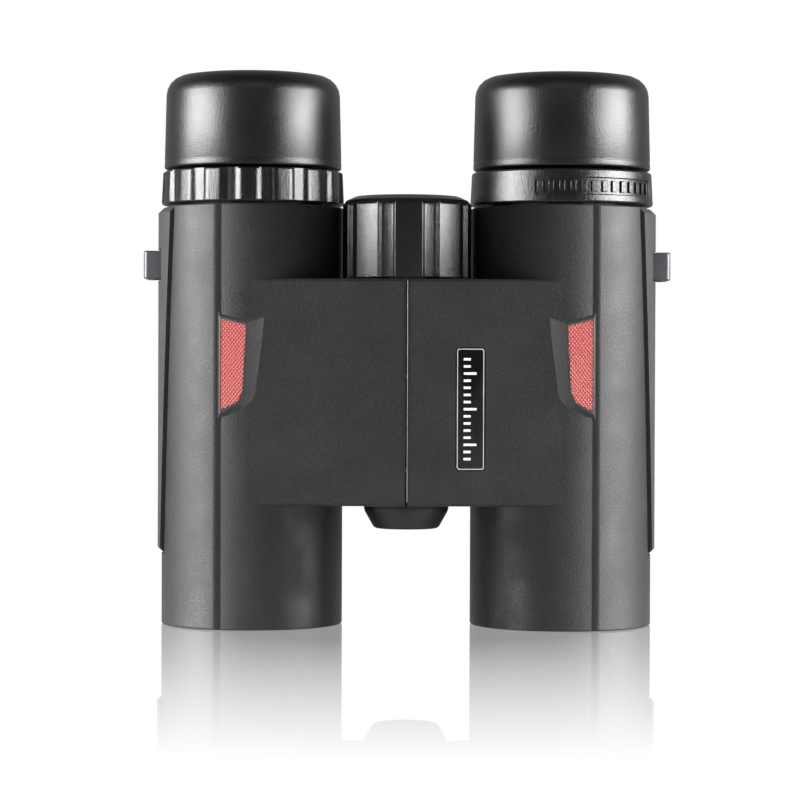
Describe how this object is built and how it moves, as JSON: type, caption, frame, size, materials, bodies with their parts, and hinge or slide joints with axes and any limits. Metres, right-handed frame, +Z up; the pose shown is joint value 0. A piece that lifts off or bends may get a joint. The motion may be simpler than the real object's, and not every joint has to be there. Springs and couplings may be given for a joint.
{
  "type": "binoculars",
  "caption": "Compact roof-prism binoculars with a flat-fronted bridge, folding hinge, central focus wheel, diopter ring and twist-up eyecups.",
  "frame": {"origin": "on the ground, at the centre of the whole object's footprint, between the two objective rims that it stands on", "axes": "+Z up along both optical axes, from objectives to eyepieces; -Y is the flat front of the bridge; +X is the right barrel seen from the front"},
  "size_m": [0.122, 0.0434, 0.1275],
  "materials": {
    "armour_rubber": "fine-grained matt rubber armour, black",
    "black_aluminium": "turned and black anodised",
    "brass": "turned brass",
    "casting": "cast and painted black",
    "coated_glass": "polished, coated optical glass",
    "eyecup_rubber": "smooth satin rubber, black",
    "gloss_plastic": "moulded, glossy black",
    "grip_rubber": "fine-grained matt rubber, black",
    "inner_plastic": "moulded, matt black",
    "lug_metal": "cast, satin dark grey paint",
    "nylon": "white nylon",
    "prism_glass": "polished optical glass",
    "red_insert": "moulded coral red with a fine diamond check",
    "steel": "turned steel"
  },
  "bodies": {
    "right_half": {"hinge_axle": "steel", "hinge_nut": "steel", "lower_friction_washer": "nylon", "name_plate": "gloss_plastic", "plain_eyepiece_ring": "gloss_plastic", "right_armour": "armour_rubber", "right_eye_lens": "coated_glass", "right_eye_lens_ring": "black_aluminium", "right_eyepiece_cell": "black_aluminium", "right_eyepiece_tube": "black_aluminium", "right_field_lens": "coated_glass", "right_field_stop_plate": "inner_plastic", "right_half_penta_prism": "prism_glass", "right_housing": "casting", "right_objective_cell": "black_aluminium", "right_objective_crown_lens": "coated_glass", "right_objective_flint_lens": "coated_glass", "right_objective_ring": "black_aluminium", "right_prism_cage": "inner_plastic", "right_red_insert": "red_insert", "right_roof_prism": "prism_glass", "right_side_grip": "grip_rubber", "right_strap_lug": "lug_metal", "tripod_socket": "brass", "upper_friction_washer": "nylon"},
    "diopter_ring": {"diopter_ring": "gloss_plastic"},
    "focus_wheel": {"focus_nut": "brass", "focus_wheel": "gloss_plastic", "focus_wheel_cap": "gloss_plastic"},
    "focus_rod": {"focus_rod": "steel"},
    "left_half": {"left_armour": "armour_rubber", "left_eyepiece_tube": "black_aluminium", "left_field_stop_plate": "inner_plastic", "left_half_penta_prism": "prism_glass", "left_housing": "casting", "left_objective_cell": "black_aluminium", "left_objective_crown_lens": "coated_glass", "left_objective_flint_lens": "coated_glass", "left_objective_ring": "black_aluminium", "left_prism_cage": "inner_plastic", "left_red_insert": "red_insert", "left_roof_prism": "prism_glass", "left_side_grip": "grip_rubber", "left_strap_lug": "lug_metal"},
    "diopter_cell": {"left_eye_lens": "coated_glass", "left_eye_lens_ring": "black_aluminium", "left_eyepiece_cell": "black_aluminium", "left_field_lens": "coated_glass"},
    "left_eyecup": {"left_eyecup_core": "inner_plastic", "left_eyecup_rubber": "eyecup_rubber"},
    "left_eyecup_slider": {"left_eyecup_sleeve": "black_aluminium"},
    "left_focus_group": {"left_focus_arm": "black_aluminium", "left_focus_lens": "coated_glass"},
    "right_eyecup": {"right_eyecup_core": "inner_plastic", "right_eyecup_rubber": "eyecup_rubber"},
    "right_eyecup_slider": {"right_eyecup_sleeve": "black_aluminium"},
    "right_focus_group": {"right_focus_arm": "black_aluminium", "right_focus_lens": "coated_glass"},
    "tripod_cap": {"tripod_cap": "inner_plastic"},
    "tripod_cap_seal": {"tripod_cap_seal": "eyecup_rubber"}
  },
  "joints": [
    {"name": "hinge_fold", "type": "hinge", "parent": "right_half", "child": "left_half", "pos_m": [0, -0.00561, 0], "axis": [0, 0, 1], "range_deg": [-61, 0]},
    {"name": "focus_wheel_turn", "type": "hinge", "parent": "right_half", "child": "focus_wheel", "pos_m": [0, -0.00561, 0], "axis": [0, 0, 1], "range_deg": [-216, 216]},
    {"name": "focus_rod_slide", "type": "slide", "parent": "right_half", "child": "focus_rod", "axis": [0, 0, 1], "range_m": [-0.00301, 0.00301]},
    {"name": "left_focus_slide", "type": "slide", "parent": "left_half", "child": "left_focus_group", "axis": [0, 0, 1], "range_m": [-0.00301, 0.00301]},
    {"name": "right_focus_slide", "type": "slide", "parent": "right_half", "child": "right_focus_group", "axis": [0, 0, 1], "range_m": [-0.00301, 0.00301]},
    {"name": "diopter_turn", "type": "hinge", "parent": "left_half", "child": "diopter_ring", "pos_m": [-0.036, 0.00039, 0], "axis": [0, 0, 1], "range_deg": [-40, 40]},
    {"name": "diopter_cell_slide", "type": "slide", "parent": "left_half", "child": "diopter_cell", "axis": [0, 0, 1], "range_m": [-0.00101, 0.00101]},
    {"name": "left_eyecup_rise", "type": "slide", "parent": "left_half", "child": "left_eyecup_slider", "axis": [0, 0, 1], "range_m": [0, 0.00801]},
    {"name": "left_eyecup_twist", "type": "hinge", "parent": "left_eyecup_slider", "child": "left_eyecup", "pos_m": [-0.036, 0.00039, 0], "axis": [0, 0, 1], "range_deg": [0, 100]},
    {"name": "right_eyecup_rise", "type": "slide", "parent": "right_half", "child": "right_eyecup_slider", "axis": [0, 0, 1], "range_m": [0, 0.00801]},
    {"name": "right_eyecup_twist", "type": "hinge", "parent": "right_eyecup_slider", "child": "right_eyecup", "pos_m": [0.036, 0.00039, 0], "axis": [0, 0, 1], "range_deg": [0, 100]},
    {"name": "tripod_cap_slide", "type": "slide", "parent": "right_half", "child": "tripod_cap_seal", "axis": [0, 0, -1], "range_m": [0, 0.00445]},
    {"name": "tripod_cap_unscrew", "type": "hinge", "parent": "tripod_cap_seal", "child": "tripod_cap", "pos_m": [0, -0.00561, 0], "axis": [0, 0, -1], "range_deg": [0, 1260]}
  ],
  "couplings": [
    {"joint": "focus_rod_slide", "follows": "focus_wheel_turn", "m_per_rad": -0.00079577},
    {"joint": "left_focus_slide", "follows": "focus_wheel_turn", "m_per_rad": -0.00079577},
    {"joint": "right_focus_slide", "follows": "focus_wheel_turn", "m_per_rad": -0.00079577},
    {"joint": "diopter_cell_slide", "follows": "diopter_turn", "m_per_rad": -0.0014324},
    {"joint": "left_eyecup_rise", "follows": "left_eyecup_twist", "m_per_rad": 0.0045837},
    {"joint": "right_eyecup_rise", "follows": "right_eyecup_twist", "m_per_rad": 0.0045837},
    {"joint": "tripod_cap_slide", "follows": "tripod_cap_unscrew", "m_per_rad": 0.00020213}
  ]
}
